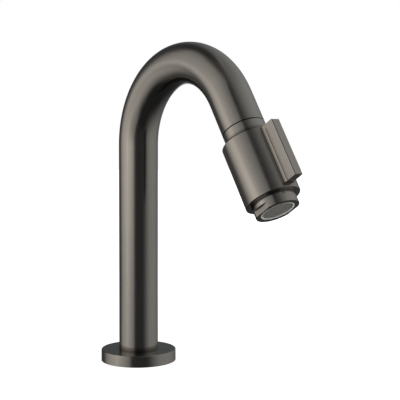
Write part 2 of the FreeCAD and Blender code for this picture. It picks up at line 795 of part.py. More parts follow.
def make_spindle():
    """Hollow brass spindle: ported flange with two dogs, sealed shaft and a locating flat."""
    body = new_body("spindle")
    flange = f"{CHAMBER_R} - free_clearance"
    upper = f"({GLAND_MIDDLE} - spindle_seal_spacing / 2)"
    lower = f"({GLAND_MIDDLE} + spindle_seal_spacing / 2)"
    corners = [("0", SPINDLE_TOP), (flange, SPINDLE_TOP), (flange, SPINDLE_SHOULDER)]
    corners += [(SPINDLE_R, SPINDLE_SHOULDER)]
    for station in (upper, lower):
        corners += groove_corners(SPINDLE_R, "spindle_seal_section", "spindle_seal_section", station)
    corners += [(SPINDLE_R, SPINDLE_END), (SPINDLE_BORE_R, SPINDLE_END)]
    corners += [(SPINDLE_BORE_R, SPINDLE_SHOULDER)]
    corners += [("0", SPINDLE_SHOULDER)]
    add_revolution(body, "spindle_turning", stations(*corners))
    dogs = both_sides(f"{flange} - dog_depth", f"{flange} - running_clearance", "dog_width / 2")
    dog_base = f"({SPINDLE_TOP} + running_clearance)"
    add_pad(body, "dogs", dogs, below(dog_base), below(f"({SPINDLE_TOP} - dog_height)"))
    flat = f"{SPINDLE_R} - spindle_flat_depth"
    cut = rectangle(f"-({SPINDLE_R} + cut_margin)", f"-({flat})", f"-({SPINDLE_R})", SPINDLE_R)
    flat_low = below(f"({GRUB_STATION} + spindle_flat_length / 2)")
    flat_high = below(f"({GRUB_STATION} - spindle_flat_length / 2)")
    add_pocket(body, "grub_flat", cut, flat_low, flat_high)
    port_top = below(f"({SPINDLE_TOP} - cut_margin)")
    port_low = below(f"({SPINDLE_SHOULDER} + cut_margin)")
    port_outer = f"({SPINDLE_BORE_R} - running_clearance)"
    add_ports(body, "spindle_port", port_outer, "handle_travel", port_low, port_top)
    put_on_head(body)


def make_spindle_seals():
    """Two equal seal rings in the spindle's grooves, kept as one group."""
    section = number("spindle_seal_section / 2")
    centre = number(f"{SPINDLE_R}") - section
    middle = number(GLAND_MIDDLE)
    half = number("spindle_seal_spacing / 2")
    rings = []
    for station in (middle - half, middle + half):
        rings.append(Part.makeTorus(centre, section, FreeCAD.Vector(0, 0, -station)))
    seals = document.addObject("Part::Feature", "spindle_o_rings")
    seals.Label = "spindle_o_rings"
    seals.Shape = Part.makeCompound(rings)
    put_on_head(seals)
    subparts.append(seals)


def make_outlet_hub():
    """Hub on the spindle's tail: carries the sleeve, the stop lug and the aerator thread."""
    body = new_body("outlet_hub")
    bore = f"{SPINDLE_R} + joined_clearance"
    corners = [
        (bore, HUB_TOP),
        (HUB_R, HUB_TOP),
        (HUB_R, HUB_SHOULDER),
        (HUB_THREAD_R, HUB_SHOULDER),
        (HUB_THREAD_R, HUB_END),
        (OUTLET_CHAMBER_R, HUB_END),
        (OUTLET_CHAMBER_R, SPINDLE_END),
        (bore, SPINDLE_END),
    ]
    add_revolution(body, "hub_turning", stations(*corners))
    rest_angle = "(180 + handle_travel / 2)"

    def lug(sketch):
        inner = f"{CHAMBER_R} + free_clearance"
        outer = f"{TUBE_R} - free_clearance"
        add_sector(sketch, inner, outer, rest_angle, "lug_angle")

    lug_foot = below(f"({HUB_TOP} + running_clearance)")
    add_pad(body, "stop_lug", lug, lug_foot, below(f"({HUB_TOP} - lug_height)"))
    hole = grub_hole("grub_diameter / 2 + joined_clearance")
    add_pocket(body, "grub_thread", hole, f"-({HUB_R} + cut_margin)", "0", "YZ_Plane")
    put_on_head(body)


def grub_hole(radius):
    return lambda sketch: add_circle(sketch, radius, "0", below(GRUB_STATION))


def make_handle_sleeve():
    """Turned sleeve with the flat fin that the hand turns, both one piece."""
    body = new_body("handle_sleeve")
    lip_bore = f"{TUBE_R} + 2 * running_clearance"
    corners = [
        (lip_bore, "collar_length"),
        (SLEEVE_R, "collar_length"),
        (SLEEVE_R, SLEEVE_END),
        (SLEEVE_BORE_R, SLEEVE_END),
        (SLEEVE_BORE_R, LIP_END),
        (lip_bore, LIP_END),
    ]
    turning = add_revolution(body, "sleeve_turning", stations(*corners))
    top_edge = edges_where(turning, ring_at(SLEEVE_R, below("collar_length")))
    top = chamfered(body, "sleeve_top_edge", turning, top_edge, "sleeve_top_chamfer")
    end_edge = edges_where(top, ring_at(SLEEVE_R, below(SLEEVE_END)))
    rounded(body, "sleeve_end_edge", top, end_edge, "sleeve_end_rounding")
    fin_top = "(collar_length + sleeve_top_chamfer + fin_top_inset)"
    fin_end = f"({SLEEVE_END} - fin_end_inset)"
    root = f"{SLEEVE_R} - fin_root_depth"
    outline = rectangle(root, FIN_REACH, "-(fin_thickness / 2)", "fin_thickness / 2")
    fin = add_pad(body, "fin", outline, below(fin_end), below(fin_top))
    reach, half = number(FIN_REACH), number("fin_thickness / 2")
    foot = math.sqrt(number(SLEEVE_R) ** 2 - half**2)

    def outer_edge(edge):
        return all(abs(vertex.X - reach) < 1e-4 for vertex in edge.Vertexes)

    def root_edge(edge):
        return all(
            abs(vertex.X - foot) < 1e-4 and abs(abs(vertex.Y) - half) < 1e-4 for vertex in edge.Vertexes
        )

    edges = rounded(body, "fin_edges", fin, edges_where(fin, outer_edge), "fin_edge")
    rounded(body, "fin_root", edges, edges_where(edges, root_edge), "fin_root_fillet")
    hole = grub_hole("grub_diameter / 2 + joined_clearance")
    add_pocket(body, "grub_hole", hole, f"-({SLEEVE_R} + cut_margin)", "0", "YZ_Plane")
    put_on_head(body)


def make_grub_screw():
    """Socket screw at the back of the sleeve, through the hub onto the spindle's flat."""
    body = new_body("sleeve_grub_screw")
    outside = f"-({SLEEVE_R} - grub_recess)"
    seat = f"-({SPINDLE_R} - spindle_flat_depth)"
    shaft = add_pad(body, "grub_shaft", grub_hole("grub_diameter / 2"), outside, seat, "YZ_Plane")
    tip = number(seat)

    def tip_edge(edge):
        return abs(edge.BoundBox.XMin - tip) < 1e-4 and abs(edge.BoundBox.XMax - tip) < 1e-4

    chamfered(body, "grub_point", shaft, edges_where(shaft, tip_edge), "grub_point_length")
    low = f"{outside} - cut_margin"
    high = f"{outside} + grub_socket_depth"

    def socket(sketch):
        corners = hexagon_corners("grub_socket")
        add_outline(sketch, [(across, f"{up} - {GRUB_STATION}") for across, up in corners])

    add_pocket(body, "grub_socket_cut", socket, low, high, "YZ_Plane")
    put_on_head(body)


# Aerator
def make_aerator_seal():
    body = new_body("aerator_seal")
    outer = f"{HUB_THREAD_R} - running_clearance"
    corners = ring_corners(OUTLET_CHAMBER_R, outer, HUB_END, INSERT_TOP)
    add_revolution(body, "aerator_seal_ring", stations(*corners))
    put_on_head(body)


def make_aerator_insert():
    """Plastic cartridge: holed plate on top, radial ribs below it, and a ledge for the mesh."""
    body = new_body("aerator_insert")
    ledge = f"({INSERT_BORE_R} - insert_ledge_width)"
    plate_end = f"({INSERT_TOP} + insert_plate_thickness)"
    corners = [
        ("0", INSERT_TOP),
        (INSERT_R, INSERT_TOP),
        (INSERT_R, LIP_INNER),
        (INSERT_RIM_R, LIP_INNER),
        (INSERT_RIM_R, INSERT_END),
        (INSERT_BORE_R, INSERT_END),
        (INSERT_BORE_R, MESH_BACK),
        (ledge, MESH_BACK),
        (ledge, f"{MESH_BACK} - insert_ledge_thickness"),
        (INSERT_BORE_R, f"{MESH_BACK} - insert_ledge_thickness"),
        (INSERT_BORE_R, plate_end),
        ("0", plate_end),
    ]
    add_revolution(body, "insert_shell", stations(*corners))

    def hole(sketch):
        half_step = "(180 / diffuser_hole_count)"
        across = f"diffuser_hole_circle / 2 * cos({half_step})"
        up = f"diffuser_hole_circle / 2 * sin({half_step})"
        add_circle(sketch, "diffuser_hole_diameter / 2", across, up)

    low = below(f"({plate_end} + running_clearance)")
    high = below(f"({INSERT_TOP} - running_clearance)")
    holes = add_pocket(body, "diffuser_hole", hole, low, high)
    add_pattern(body, "diffuser_holes", holes, "diffuser_hole_count")
    half = "insert_rib_thickness / 2"
    outline = rectangle("0", f"({INSERT_BORE_R} + insert_rim_width / 2)", f"-({half})", half)
    ledge_top = below(f"({MESH_BACK} - insert_ledge_thickness)")
    rib = add_pad(body, "flow_rib", outline, ledge_top, below(plate_end))
    add_pattern(body, "flow_ribs", rib, "insert_rib_count")
    put_on_head(body)


def make_aerator_mesh():
    """Round metal mesh: one holed sheet with a plain rim."""
    pitch = number("mesh_pitch")
    half = number("mesh_opening / 2")
    rim = number(f"{INSERT_BORE_R} - joined_clearance")
    reach = rim - number("mesh_rim")
    steps = int(reach / pitch) + 1
    height = -number(MESH_FACE)
    circle = Part.Circle(FreeCAD.Vector(0, 0, height), FreeCAD.Vector(0, 0, 1), rim)
    wires = [Part.Wire(circle.toShape())]
    for column in range(-steps, steps + 1):
        for row in range(-steps, steps + 1):
            across, up = column * pitch, row * pitch
            if math.hypot(abs(across) + half, abs(up) + half) > reach:
                continue
            corners = [(-half, -half), (-half, half), (half, half), (half, -half), (-half, -half)]
            points = [FreeCAD.Vector(across + right, up + rise, height) for right, rise in corners]
            wires.append(Part.makePolygon(points))
    sheet_face = Part.Face(wires)
    mesh = document.addObject("Part::Feature", "aerator_mesh")
    mesh.Label = "aerator_mesh"
    mesh.Shape = sheet_face.extrude(FreeCAD.Vector(0, 0, number("mesh_thickness")))
    put_on_head(mesh)
    subparts.append(mesh)
    print(f"mesh openings {len(wires) - 1}")


def make_aerator_housing():
    """Screwed cap below the sleeve, as wide as the tube, with two spanner flats."""
    body = new_body("aerator_housing")
    thread = f"{HUB_THREAD_R} + joined_clearance"
    cup = f"{INSERT_R} + joined_clearance"
    corners = [
        (thread, AERATOR_TOP),
        (TUBE_R, AERATOR_TOP),
        (TUBE_R, AERATOR_END),
        (MOUTH_R, AERATOR_END),
        (MOUTH_R, LIP_INNER),
        (cup, LIP_INNER),
        (cup, INSERT_TOP),
        (thread, INSERT_TOP),
    ]
    turning = add_revolution(body, "housing_turning", stations(*corners))
    end_edge = edges_where(turning, ring_at(TUBE_R, below(AERATOR_END)))
    rounded(body, "housing_edge", turning, end_edge, "aerator_edge")

    def flats(sketch):
        for side in ("", "-"):
            near, far = f"{side}({TUBE_R} - flats_depth)", f"{side}({TUBE_R} + cut_margin)"
            left, right = f"-({TUBE_R})", TUBE_R
            add_outline(sketch, [(left, near), (right, near), (right, far), (left, far)])

    low = below(f"({AERATOR_END} + cut_margin)")
    high = below(f"({AERATOR_END} - flats_height)")
    add_pocket(body, "spanner_flats", flats, low, high)
    put_on_head(body)


MAKERS = [
    make_spout_tube,
    make_base_flange,
    make_base_gasket,
    make_shank_bush,
    make_threaded_shank,
    make_shank_seal,
    make_deck_clamp,
    make_outlet_bush,
    make_valve_body,
    make_valve_body_seal,
    make_sleeve_bearing,
    make_seat_seal,
    make_fixed_disc,
    make_gland_nut,
    make_gland_seal,
    make_thrust_washer,
    make_moving_disc,
    make_spindle,
    make_spindle_seals,
    make_outlet_hub,
    make_handle_sleeve,
    make_grub_screw,
    make_aerator_seal,
    make_aerator_insert,
    make_aerator_mesh,
    make_aerator_housing,
]

for make in MAKERS:
    make()
document.recompute()

# Checks and export
for item in document.Objects:
    if "Invalid" in item.State or "Error" in item.State:
        raise RuntimeError(f"{item.Name}: {item.State}")
for item in subparts:
    if item.Shape.isNull() or not item.Shape.isValid():
        raise RuntimeError(f"{item.Label} has no valid shape")

os.makedirs("parts", exist_ok=True)
for item in subparts:
    item.Shape.exportStep(os.path.join("parts", f"{item.Label}.step"))
    print(f"{item.Label}: {len(item.Shape.Solids)} solid, volume {item.Shape.Volume:.1f}")
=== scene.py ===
import json
import math

import bmesh
import bpy
from mathutils import Matrix, Quaternion, Vector

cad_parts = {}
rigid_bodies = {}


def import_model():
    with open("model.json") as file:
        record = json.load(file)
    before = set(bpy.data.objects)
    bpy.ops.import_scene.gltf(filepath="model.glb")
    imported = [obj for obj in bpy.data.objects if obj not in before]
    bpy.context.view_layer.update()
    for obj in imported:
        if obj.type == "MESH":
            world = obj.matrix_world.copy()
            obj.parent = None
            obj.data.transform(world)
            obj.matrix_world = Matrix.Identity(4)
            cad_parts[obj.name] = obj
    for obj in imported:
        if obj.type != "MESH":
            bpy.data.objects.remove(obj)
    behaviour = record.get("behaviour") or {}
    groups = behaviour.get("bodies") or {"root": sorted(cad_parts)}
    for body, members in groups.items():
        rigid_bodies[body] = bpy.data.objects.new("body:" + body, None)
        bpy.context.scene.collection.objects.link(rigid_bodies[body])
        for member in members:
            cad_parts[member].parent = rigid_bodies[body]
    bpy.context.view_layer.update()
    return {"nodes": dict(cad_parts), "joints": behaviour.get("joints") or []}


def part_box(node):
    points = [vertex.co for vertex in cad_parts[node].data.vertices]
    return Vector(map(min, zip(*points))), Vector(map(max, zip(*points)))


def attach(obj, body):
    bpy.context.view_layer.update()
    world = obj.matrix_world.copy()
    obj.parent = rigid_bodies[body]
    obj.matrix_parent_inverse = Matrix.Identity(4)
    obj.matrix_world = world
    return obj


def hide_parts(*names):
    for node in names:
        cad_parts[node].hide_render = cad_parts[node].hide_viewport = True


# Cloakroom basin tap in brushed gunmetal. Metres: z = 0 is the deck, the column is on the Z axis,
# and the spout reaches out along +X.

for leftover in list(bpy.data.objects):
    bpy.data.objects.remove(leftover)
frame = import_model()

MM = 0.001

# The spout's centre line, worked out from the frame
HINGE = frame["joints"][0]
SEAM = Vector(HINGE["pos_m"])
OUTLET = Vector(HINGE["axis"]).normalized()
SIDE = Vector((0.0, 1.0, 0.0))
OUTWARD = SIDE.cross(-OUTLET)
TUBE_LOW, TUBE_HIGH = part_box("spout_tube")
TUBE_R = TUBE_HIGH.y
TUBE_WALL = 1.5 * MM
TUBE_BORE_R = TUBE_R - TUBE_WALL
TUBE_FOOT = TUBE_LOW.z
ARCH_TOP = TUBE_HIGH.z - TUBE_R
SIN_TILT, COS_TILT = OUTLET.x, -OUTLET.z
TILT = math.atan2(SIN_TILT, COS_TILT)
BEND_R = (SEAM.z - ARCH_TOP + COS_TILT * SEAM.x / SIN_TILT) / (
    COS_TILT * (1 + COS_TILT) / SIN_TILT - (1 - SIN_TILT)
)
COLUMN_TOP = ARCH_TOP - BEND_R
COLUMN_STRAIGHT = COLUMN_TOP - TUBE_FOOT
BEND_LENGTH = BEND_R * (math.pi - TILT)
OUTLET_STRAIGHT = (SEAM.x - BEND_R * (1 + COS_TILT)) / SIN_TILT
SEAM_CHAMFER = 0.15 * MM
TUBE_SIDES = 128
TUBE_STEP = 2.0 * MM

# The shank under the deck, in its real sizes: spigot in the tube, shoulder, fixing thread, inlet thread
SHANK_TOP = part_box("threaded_shank")[1].z
SHOULDER_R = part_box("threaded_shank")[1].x
SHOULDER_TOP = 2.4 * MM
SPIGOT_R = 9.48 * MM
SPIGOT_GROOVE_R = 8.18 * MM
SPIGOT_GROOVE = (14.25 * MM, 15.55 * MM)
WATERWAY_R = 7.0 * MM
FIXING_THREAD = {
    "crest": 12.0 * MM,
    "depth": 0.92 * MM,
    "pitch": 1.5 * MM,
    "low": -34.0 * MM,
    "high": -1.5 * MM,
}
INLET_THREAD = {
    "crest": 10.4775 * MM,
    "depth": 1.16 * MM,
    "pitch": 1.814 * MM,
    "low": -50.0 * MM,
    "high": -35.0 * MM,
}
THREAD_SIDES = 72
THREAD_SAMPLES = 8
# Half a thread's width at its root, and the width of one flank, as shares of the pitch
THREAD_HALF = 0.44
THREAD_FLANK = 0.375

# The woven gauze in the aerator
GAUZE_PITCH = 0.65 * MM
WIRE_R = 0.12 * MM
WIRE_SIDES = 5
WIRE_SAMPLES = 4

# Points closer than this are one point
WELD = 0.0005 * MM

# The camera stands where the photograph was taken from
VIEW_FROM = Vector((0.4927, -0.3518, 0.14175))
VIEW_ALONG = Vector((-0.7727, 0.6318, -0.0630))
VIEW_ROLL = 0.0032
LENS_MM = 84.756
SENSOR_MM = 36.0
CLIP_NEAR, CLIP_FAR = 0.01, 20.0

# Colours
GUNMETAL = (0.209, 0.191, 0.174)
BRASS = (0.62, 0.44, 0.20)
STEEL = (0.56, 0.55, 0.53)
GAUZE_STEEL = (0.46, 0.43, 0.39)
RUBBER = (0.022, 0.022, 0.023)
CERAMIC = (0.82, 0.81, 0.78)
WHITE_PLASTIC = (0.76, 0.76, 0.74)
PALE_PLASTIC = (0.62, 0.615, 0.595)
WHITE = (1.0, 1.0, 1.0)

GUNMETAL_ROUGHNESS = 0.18
PLAIN_ROUGHNESS = 0.3
GAUZE_ROUGHNESS = 0.35

# Painted shade: the metal's colour is made darker and browner in a corner, within its reach, where
# shade falls. Open is the share of open space about a point at which the painted shade is full,
# and the share at which it ends.
PAINTED_CORNER_SHADES = {
    "piece": {
        "reach": 5.5 * MM,
        "neighbours": False,
        "open": (0.45, 0.97),
        "shade": (0.42, 0.38, 0.34),
    },
    "joined": {
        "reach": 3.0 * MM,
        "neighbours": True,
        "open": (0.45, 0.97),
        "shade": (0.42, 0.38, 0.34),
    },
    "collar": {
        "reach": 3.0 * MM,
        "neighbours": True,
        "open": (0.64, 0.98),
        "shade": (0.30, 0.265, 0.235),
    },
}
# Samples for the painted corner shade
PAINTED_SHADE_SAMPLES = 6

# Brushed lines: a scale is per metre, and a stretch is how much longer a line is than it is wide
FINE_LINES = 5200.0
FINE_SHARE = 0.6
BROAD_LINES = 1100.0
BRUSH_DEPTH = 0.004 * MM
BRUSH_SHADES = (0.93, 1.07)
BRUSH_ROUGHNESS = 0.03
BRUSH_ANISOTROPY = 0.25
DRAWN_STRETCH = 70.0
TURNED_STRETCH = 60.0
# A little of this keeps a tangent from vanishing where a face looks along its lines
TANGENT_ASIDE = 0.02

# Clouds: wide and faint changes of shade
METAL_CLOUDS = 55.0
METAL_CLOUD_SHADES = (0.98, 1.02)
METAL_CLOUD_ROUGHNESS = 0.012
MOULDED_CLOUDS = 90.0
MOULDED_CLOUD_SHADES = (0.95, 1.05)
MOULDED_SKIN_ROUGHNESS = 0.04
# Noise keeps mostly between these two values
NOISE_LOW, NOISE_HIGH = 0.3, 0.7

# Studio: soft boxes left, right and above in a dark room. Azimuth and elevation are in degrees, each
# as low edge, softness, high edge, softness; azimuth 0 is where the camera stands, and negative is to
# the left of the picture. The lean is how far the left edge moves to the right for each degree below
# the horizon, and from half of LEAN_REACH it goes back again. The right lean is how far the right
# edge moves to the right for each degree above the horizon.
LEAN_REACH = 16.0
SOFT_BOXES = {
    "left_box": {
        "azimuth": (-118.0, 25.0, -21.5, 10.0),
        "elevation": (-34.0, 20.0, 60.0, 22.0),
        "light": (0.470, 0.482, 0.480),
        "lean": 1.06,
        "right_lean": 0.05,
    },
    "left_glow": {
        "azimuth": (-109.0, 80.0, -44.0, 49.0),
        "elevation": (-50.0, 22.0, 44.0, 64.0),
        "light": (0.640, 0.632, 0.590),
        "lean": 0.69,
    },
    "left_strip": {
        "azimuth": (-95.0, 77.0, -25.0, 32.0),
        "elevation": (-2.5, 26.0, 12.0, 15.0),
        "light": (1.130, 1.070, 0.990),
    },
    "left_line": {
        "azimuth": (-71.0, 9.0, -60.5, 9.0),
        "elevation": (-20.0, 16.0, 6.0, 12.0),
        "light": (0.190, 0.185, 0.130),
    },
    "right_box": {
        "azimuth": (52.5, 55.0, 139.0, 77.0),
        "elevation": (-35.0, 61.0, 46.0, 69.0),
        "light": (0.686, 0.692, 0.698),
    },
    "top_box": {
        "azimuth": (21.0, 78.0, 182.0, 47.0),
        "elevation": (22.0, 49.0, 130.0, 40.0),
        "light": (0.367, 0.391, 0.387),
    },
    "ceiling": {
        "azimuth": (-99.0, 17.0, 34.0, 22.0),
        "elevation": (57.0, 9.0, 130.0, 40.0),
        "light": (0.073, 0.070, 0.063),
    },
}
ROOM_LIGHT = (0.080, 0.086, 0.090)
FLOOR_SHADE = {"below": -34.0, "above": -14.0, "light": 0.55}
# The part of the white backdrop that stands behind the object, as metal shows it
BACKDROP = {"azimuth": (174.0, 6.0, 186.0, 6.0), "elevation": (-12.0, 6.0, 4.0, 6.0)}
CAMERA_AZIMUTH = math.atan2(-VIEW_ALONG.y, -VIEW_ALONG.x)

# The floor, in metres: its own size, and the soft shadow about the object's foot
FLOOR_COLOUR = (0.8, 0.8, 0.8)
FLOOR_BOUNCE = 0.6
FLOOR_R = 4.0
FLOOR_SIDES = 96
FLOOR_DROP = 0.02 * MM
SHADOW = {"near": 0.06, "far": 0.30, "light": 0.78}


# Node helpers
def new_material(name):
    material = bpy.data.materials.new(name)
    material.use_nodes = True
    tree = material.node_tree
    tree.nodes.clear()
    output = tree.nodes.new("ShaderNodeOutputMaterial")
    return material, tree, output


def plug(tree, socket, value):
    if isinstance(value, bpy.types.NodeSocket):
        tree.links.new(value, socket)
    elif hasattr(value, "__len__") and len(value) == 3 and socket.type == "RGBA":
        socket.default_value = (*value, 1.0)
    else:
        socket.default_value = value


def add_node(tree, kind, settings=(), **inputs):
    """A node with its settings, and inputs given by name as numbers or as other sockets."""
    node = tree.nodes.new(kind)
    for name, value in dict(settings).items():
        setattr(node, name, value)
    for name, value in inputs.items():
        plug(tree, node.inputs[name.replace("_", " ")], value)
    return node


def maths(tree, operation, *values):
    node = add_node(tree, "ShaderNodeMath", {"operation": operation})
    for socket, value in zip(node.inputs, values):
        plug(tree, socket, value)
    return node.outputs[0]


def vector_maths(tree, operation, *values):
    node = add_node(tree, "ShaderNodeVectorMath", {"operation": operation})
    for socket, value in zip(node.inputs, values):
        plug(tree, socket, value)
    return node.outputs[0]


def scaled(tree, vector, factor):
    node = add_node(tree, "ShaderNodeVectorMath", {"operation": "SCALE"}, Scale=factor)
    plug(tree, node.inputs[0], vector)
    return node.outputs[0]


def scaled_range(tree, value, low, high, to_low, to_high, smooth=False):
    kind = "SMOOTHSTEP" if smooth else "LINEAR"
    node = add_node(
        tree,
        "ShaderNodeMapRange",
        {"interpolation_type": kind},
        Value=value,
        From_Min=low,
        From_Max=high,
        To_Min=to_low,
        To_Max=to_high,
    )
    return node.outputs[0]


def noise(tree, vector, scale, detail):
    node = add_node(tree, "ShaderNodeTexNoise", Vector=vector, Scale=scale, Detail=detail)
    return node.outputs["Fac"]


def spread(tree, noise_value, low, high):
    """Noise brought to between low and high."""
    return scaled_range(tree, noise_value, NOISE_LOW, NOISE_HIGH, low, high)


def object_position(tree):
    return tree.nodes.new("ShaderNodeTexCoord").outputs["Object"]


# Grain: coordinates that follow a piece
def local_position(tree, on_head):
    """Position about the column's axis, or about the outlet's axis for pieces of the head."""
    if not on_head:
        return object_position(tree)
    mapping = add_node(tree, "ShaderNodeMapping", {"vector_type": "TEXTURE"}, Vector=object_position(tree))
    mapping.inputs["Location"].default_value = SEAM
    mapping.inputs["Rotation"].default_value = Matrix((OUTWARD, SIDE, -OUTLET)).transposed().to_euler()
    return mapping.outputs[0]


def drawn(on_head):
    """Grain that changes slowly along the local Z axis, for lines along a piece."""

    def grain(tree):
        squeeze = (1.0, 1.0, 1.0 / DRAWN_STRETCH)
        return vector_maths(tree, "MULTIPLY", local_position(tree, on_head), squeeze)

    return grain


def turned(on_head):
    """Grain that changes slowly round the local Z axis, for lines round a piece."""

    def grain(tree):
        parts = add_node(tree, "ShaderNodeSeparateXYZ", Vector=local_position(tree, on_head))
        across, deep, high = parts.outputs
        across_squared = maths(tree, "MULTIPLY", across, across)
        deep_squared = maths(tree, "MULTIPLY", deep, deep)
        radius = maths(tree, "SQRT", maths(tree, "ADD", across_squared, deep_squared))
        slow = maths(tree, "DIVIDE", maths(tree, "ADD", across, deep), TURNED_STRETCH)
        return add_node(tree, "ShaderNodeCombineXYZ", X=radius, Y=high, Z=slow).outputs[0]

    return grain


def grain_of_tube(tree):
    return add_node(tree, "ShaderNodeAttribute", {"attribute_name": "grain"}).outputs["Vector"]


# Tangents: they run across the brushed lines
def across_drawn(direction):
    """Tangent across lines that run along one direction."""
    aside = tuple(TANGENT_ASIDE * Vector(direction).orthogonal())

    def tangent(tree):
        normal = tree.nodes.new("ShaderNodeNewGeometry").outputs["Normal"]
        across = vector_maths(tree, "CROSS_PRODUCT", tuple(direction), normal)
        return vector_maths(tree, "ADD", across, aside)

    return tangent


def across_turned(axis, centre):
    """Tangent across lines that run round an axis."""

    def tangent(tree):
        geometry = tree.nodes.new("ShaderNodeNewGeometry")
        reach = vector_maths(tree, "SUBTRACT", geometry.outputs["Position"], tuple(centre))
        along = vector_maths(tree, "CROSS_PRODUCT", tuple(axis), reach)
        return vector_maths(tree, "CROSS_PRODUCT", along, geometry.outputs["Normal"])

    return tangent


def across_flow(tree):
    """Tangent across lines that follow the piece's own flow attribute."""
    flow = add_node(tree, "ShaderNodeAttribute", {"attribute_name": "flow"}).outputs["Vector"]
    normal = tree.nodes.new("ShaderNodeNewGeometry").outputs["Normal"]
    return vector_maths(tree, "CROSS_PRODUCT", flow, normal)


# Metal
def painted_corner_shade(tree, colour, painted_shade):
    """The colour, going over to a painted shade in corners: those of the piece alone, or with its
    neighbours.
    """
    settings = {"samples": PAINTED_SHADE_SAMPLES, "only_local": not painted_shade["neighbours"]}
    occlusion = add_node(tree, "ShaderNodeAmbientOcclusion", settings, Distance=painted_shade["reach"])
    corner = scaled_range(tree, occlusion.outputs["AO"], *painted_shade["open"], 1.0, 0.0)
    lost = scaled(tree, tuple(1 - part for part in painted_shade["shade"]), corner)
    kept = vector_maths(tree, "SUBTRACT", WHITE, lost)
    return vector_maths(tree, "MULTIPLY", colour, kept)


def brushed_metal(name, colour, roughness, grain, tangent, painted_shade=None):
    """Brushed metal: grain(tree) gives stretched coordinates and tangent(tree) runs across the lines.

    With painted_shade, its corners get a painted shade, darker and browner.
    """
    material, tree, output = new_material(name)
    lines = grain(tree)
    fine = maths(tree, "MULTIPLY", noise(tree, lines, FINE_LINES, detail=3.0), FINE_SHARE)
    broad = maths(tree, "MULTIPLY", noise(tree, lines, BROAD_LINES, detail=2.0), 1 - FINE_SHARE)
    streak = maths(tree, "ADD", fine, broad)
    cloud = noise(tree, object_position(tree), METAL_CLOUDS, detail=3.0)
    streak_shade = spread(tree, streak, *BRUSH_SHADES)
    cloud_shade = spread(tree, cloud, *METAL_CLOUD_SHADES)
    tint = scaled(tree, colour, maths(tree, "MULTIPLY", streak_shade, cloud_shade))
    # Painted shade: the colour is darkened and browned in corners, from ambient occlusion
    if painted_shade:
        tint = painted_corner_shade(tree, tint, PAINTED_CORNER_SHADES[painted_shade])
    streak_roughness = spread(tree, streak, roughness - BRUSH_ROUGHNESS, roughness + BRUSH_ROUGHNESS)
    cloud_roughness = spread(tree, cloud, -METAL_CLOUD_ROUGHNESS, METAL_CLOUD_ROUGHNESS)
    bump = add_node(tree, "ShaderNodeBump", Strength=1.0, Distance=BRUSH_DEPTH, Height=streak)
    shader = add_node(
        tree,
        "ShaderNodeBsdfPrincipled",
        Base_Color=tint,
        Metallic=1.0,
        Roughness=maths(tree, "ADD", streak_roughness, cloud_roughness),
        Anisotropic=BRUSH_ANISOTROPY,
        Normal=bump.outputs[0],
        Tangent=tangent(tree),
    )
    tree.links.new(shader.outputs[0], output.inputs["Surface"])
    return material


# Rubber, plastic and ceramic
def moulded(name, colour, roughness, depth, scale, coat=0.0):
    """Moulded material with a fine skin texture and slight changes of shade."""
    material, tree, output = new_material(name)
    position = object_position(tree)
    skin = noise(tree, position, scale, detail=4.0)
    cloud = noise(tree, position, MOULDED_CLOUDS, detail=2.0)
    rough = spread(tree, skin, roughness - MOULDED_SKIN_ROUGHNESS, roughness + MOULDED_SKIN_ROUGHNESS)
    bump = add_node(tree, "ShaderNodeBump", Strength=1.0, Distance=depth, Height=skin)
    shader = add_node(
        tree,
        "ShaderNodeBsdfPrincipled",
        Base_Color=scaled(tree, colour, spread(tree, cloud, *MOULDED_CLOUD_SHADES)),
        Roughness=rough,
        Coat_Weight=coat,
        Normal=bump.outputs[0],
    )
    tree.links.new(shader.outputs[0], output.inputs["Surface"])
    return material


# Meshes
def ring_faces(start, sides, row, next_row):
    """Faces between two rows of points that each go once round."""
    near, far = start + row * sides, start + next_row * sides
    for column in range(sides):
        beside = (column + 1) % sides
        yield near + column, near + beside, far + beside, far + column


def new_mesh(name, points, faces):
    mesh = bpy.data.meshes.new(name)
    mesh.from_pydata(points, [], faces)
    return mesh


def new_piece(name, mesh, material, sharp_angle=35.0):
    mesh.polygons.foreach_set("use_smooth", [True] * len(mesh.polygons))
    mesh.set_sharp_from_angle(angle=math.radians(sharp_angle))
    mesh.materials.append(material)
    piece = bpy.data.objects.new(name, mesh)
    bpy.context.scene.collection.objects.link(piece)
    return piece


def face_outwards(mesh, weld=False):
    """Turn the faces outwards; with weld, points that share a place are joined first."""
    work = bmesh.new()
    work.from_mesh(mesh)
    if weld:
        bmesh.ops.remove_doubles(work, verts=work.verts, dist=WELD)
        bmesh.ops.dissolve_degenerate(work, edges=work.edges, dist=WELD)
    bmesh.ops.recalc_face_normals(work, faces=work.faces)
    work.to_mesh(mesh)
    work.free()


# The spout
def spout_station(along):
    """Centre, outward direction and running direction of the spout at a length from its foot."""
    if along <= COLUMN_STRAIGHT:
        return Vector((0.0, 0.0, TUBE_FOOT + along)), Vector((-1.0, 0.0, 0.0)), Vector((0.0, 0.0, 1.0))
    if along <= COLUMN_STRAIGHT + BEND_LENGTH:
        turn = math.pi - (along - COLUMN_STRAIGHT) / BEND_R
        outward = Vector((math.cos(turn), 0.0, math.sin(turn)))
        centre = Vector((BEND_R, 0.0, COLUMN_TOP)) + outward * BEND_R
        return centre, outward, Vector((math.sin(turn), 0.0, -math.cos(turn)))
    left = along - COLUMN_STRAIGHT - BEND_LENGTH
    return SEAM - OUTLET * (OUTLET_STRAIGHT - left), OUTWARD, OUTLET


def spout_walls():
    """Length from the foot and radius of each ring: up the outside, round the end, back down the bore."""
    length = COLUMN_STRAIGHT + BEND_LENGTH + OUTLET_STRAIGHT
    count = int(length / TUBE_STEP)
    lengths = [(length - SEAM_CHAMFER) * index / count for index in range(count + 1)]
    outside = [(along, TUBE_R) for along in lengths]
    end = [(length, TUBE_R - SEAM_CHAMFER), (length, TUBE_BORE_R)]
    bore = [(along, TUBE_BORE_R) for along in reversed(lengths)]
    return outside + end + bore


